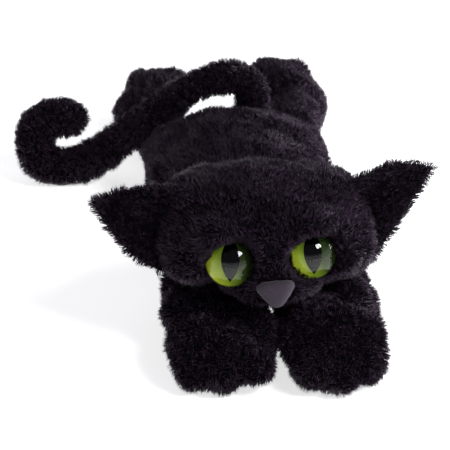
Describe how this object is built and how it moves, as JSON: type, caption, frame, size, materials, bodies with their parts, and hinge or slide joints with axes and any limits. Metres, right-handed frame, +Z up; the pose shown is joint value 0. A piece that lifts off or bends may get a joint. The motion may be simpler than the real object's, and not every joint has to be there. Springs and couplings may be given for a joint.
{
  "type": "plush cat",
  "caption": "Black stuffed toy cat lying on its belly, head on its forepaws, hind legs stretched back and a curled tail.",
  "frame": {"origin": "on the floor, on the flat underside of the belly", "axes": "+Z up, the cat looks towards -Y, its own left side is +X, the body lies along Y"},
  "size_m": [0.2268, 0.3828, 0.0964],
  "materials": {
    "black_plush": "short pile plush",
    "ear_lining": "short pile plush, darker",
    "stuffing": "polyester fibre",
    "pellets": "plastic granules in a cloth bag",
    "thread": "twisted polyester thread",
    "washer_plastic": "moulded",
    "eye_lens": "polished clear acrylic",
    "iris_paint": "painted, yellow green",
    "eye_backing": "black moulded plastic",
    "nose_flock": "flocked",
    "wire": "annealed steel wire"
  },
  "bodies": {
    "torso": {"belly_pellets": "pellets", "torso_back_cover": "black_plush", "torso_belly_cover": "black_plush", "torso_stuffing": "stuffing"},
    "neck": {"neck_sleeve": "black_plush", "neck_stuffing": "stuffing"},
    "head": {"head_back_cover": "black_plush", "head_face_cover": "black_plush", "head_stuffing": "stuffing", "left_eye_dome": "eye_lens", "left_eye_stem": "eye_backing", "left_eye_washer": "washer_plastic", "left_iris_disc": "iris_paint", "nose": "nose_flock", "nose_washer": "washer_plastic", "right_eye_dome": "eye_lens", "right_eye_stem": "eye_backing", "right_eye_washer": "washer_plastic", "right_iris_disc": "iris_paint"},
    "left_ear": {"left_ear_back_panel": "black_plush", "left_ear_front_panel": "ear_lining"},
    "right_ear": {"right_ear_back_panel": "black_plush", "right_ear_front_panel": "ear_lining"},
    "left_foreleg": {"left_foreleg_cover": "black_plush", "left_foreleg_pellets": "pellets", "left_foreleg_stuffing": "stuffing", "left_foreleg_toe_threads": "thread"},
    "right_foreleg": {"right_foreleg_cover": "black_plush", "right_foreleg_pellets": "pellets", "right_foreleg_stuffing": "stuffing", "right_foreleg_toe_threads": "thread"},
    "left_hind_leg": {"left_hind_leg_cover": "black_plush", "left_hind_leg_pellets": "pellets", "left_hind_leg_stuffing": "stuffing", "left_hind_leg_toe_threads": "thread"},
    "right_hind_leg": {"right_hind_leg_cover": "black_plush", "right_hind_leg_pellets": "pellets", "right_hind_leg_stuffing": "stuffing", "right_hind_leg_toe_threads": "thread"},
    "tail_base": {"tail_base_cover": "black_plush", "tail_base_stuffing": "stuffing", "tail_base_wire": "wire"},
    "tail_middle": {"tail_middle_cover": "black_plush", "tail_middle_stuffing": "stuffing", "tail_middle_wire": "wire"},
    "tail_curl": {"tail_curl_cover": "black_plush", "tail_curl_stuffing": "stuffing", "tail_curl_wire": "wire"}
  },
  "joints": [
    {"name": "neck_turn", "type": "hinge", "parent": "torso", "child": "neck", "pos_m": [0, -0.052, 0.046], "axis": [0, 0, 1], "range_deg": [-15, 15]},
    {"name": "head_nod", "type": "hinge", "parent": "neck", "child": "head", "pos_m": [0, -0.052, 0.046], "axis": [-1, 0, 0], "range_deg": [0, 25]},
    {"name": "left_ear_fold", "type": "hinge", "parent": "head", "child": "left_ear", "pos_m": [0.0545, -0.1, 0.074], "axis": [-0.3865, 0.1932, 0.9018], "range_deg": [-20, 20]},
    {"name": "right_ear_fold", "type": "hinge", "parent": "head", "child": "right_ear", "pos_m": [-0.0545, -0.1, 0.074], "axis": [-0.3865, -0.1932, -0.9018], "range_deg": [-20, 20]},
    {"name": "left_shoulder_swing", "type": "hinge", "parent": "torso", "child": "left_foreleg", "pos_m": [0.038, -0.06, 0.017], "axis": [0, 0, 1], "range_deg": [0, 45]},
    {"name": "right_shoulder_swing", "type": "hinge", "parent": "torso", "child": "right_foreleg", "pos_m": [-0.038, -0.06, 0.017], "axis": [0, 0, -1], "range_deg": [0, 45]},
    {"name": "left_hip_swing", "type": "hinge", "parent": "torso", "child": "left_hind_leg", "pos_m": [0.038, 0.088, 0.014], "axis": [0, 0, -1], "range_deg": [0, 35]},
    {"name": "right_hip_swing", "type": "hinge", "parent": "torso", "child": "right_hind_leg", "pos_m": [-0.038, 0.088, 0.014], "axis": [0, 0, 1], "range_deg": [0, 5]},
    {"name": "tail_lift", "type": "hinge", "parent": "torso", "child": "tail_base", "pos_m": [0.014, 0.097, 0.05], "axis": [0, 1, 0], "range_deg": [0, 30]},
    {"name": "tail_bend", "type": "hinge", "parent": "tail_base", "child": "tail_middle", "pos_m": [-0.03033, 0.097, 0.0595], "axis": [0, 1, 0], "range_deg": [0, 35]},
    {"name": "tail_curl_bend", "type": "hinge", "parent": "tail_middle", "child": "tail_curl", "pos_m": [-0.08736, 0.097, 0.01806], "axis": [0, 1, 0], "range_deg": [0, 30]}
  ]
}
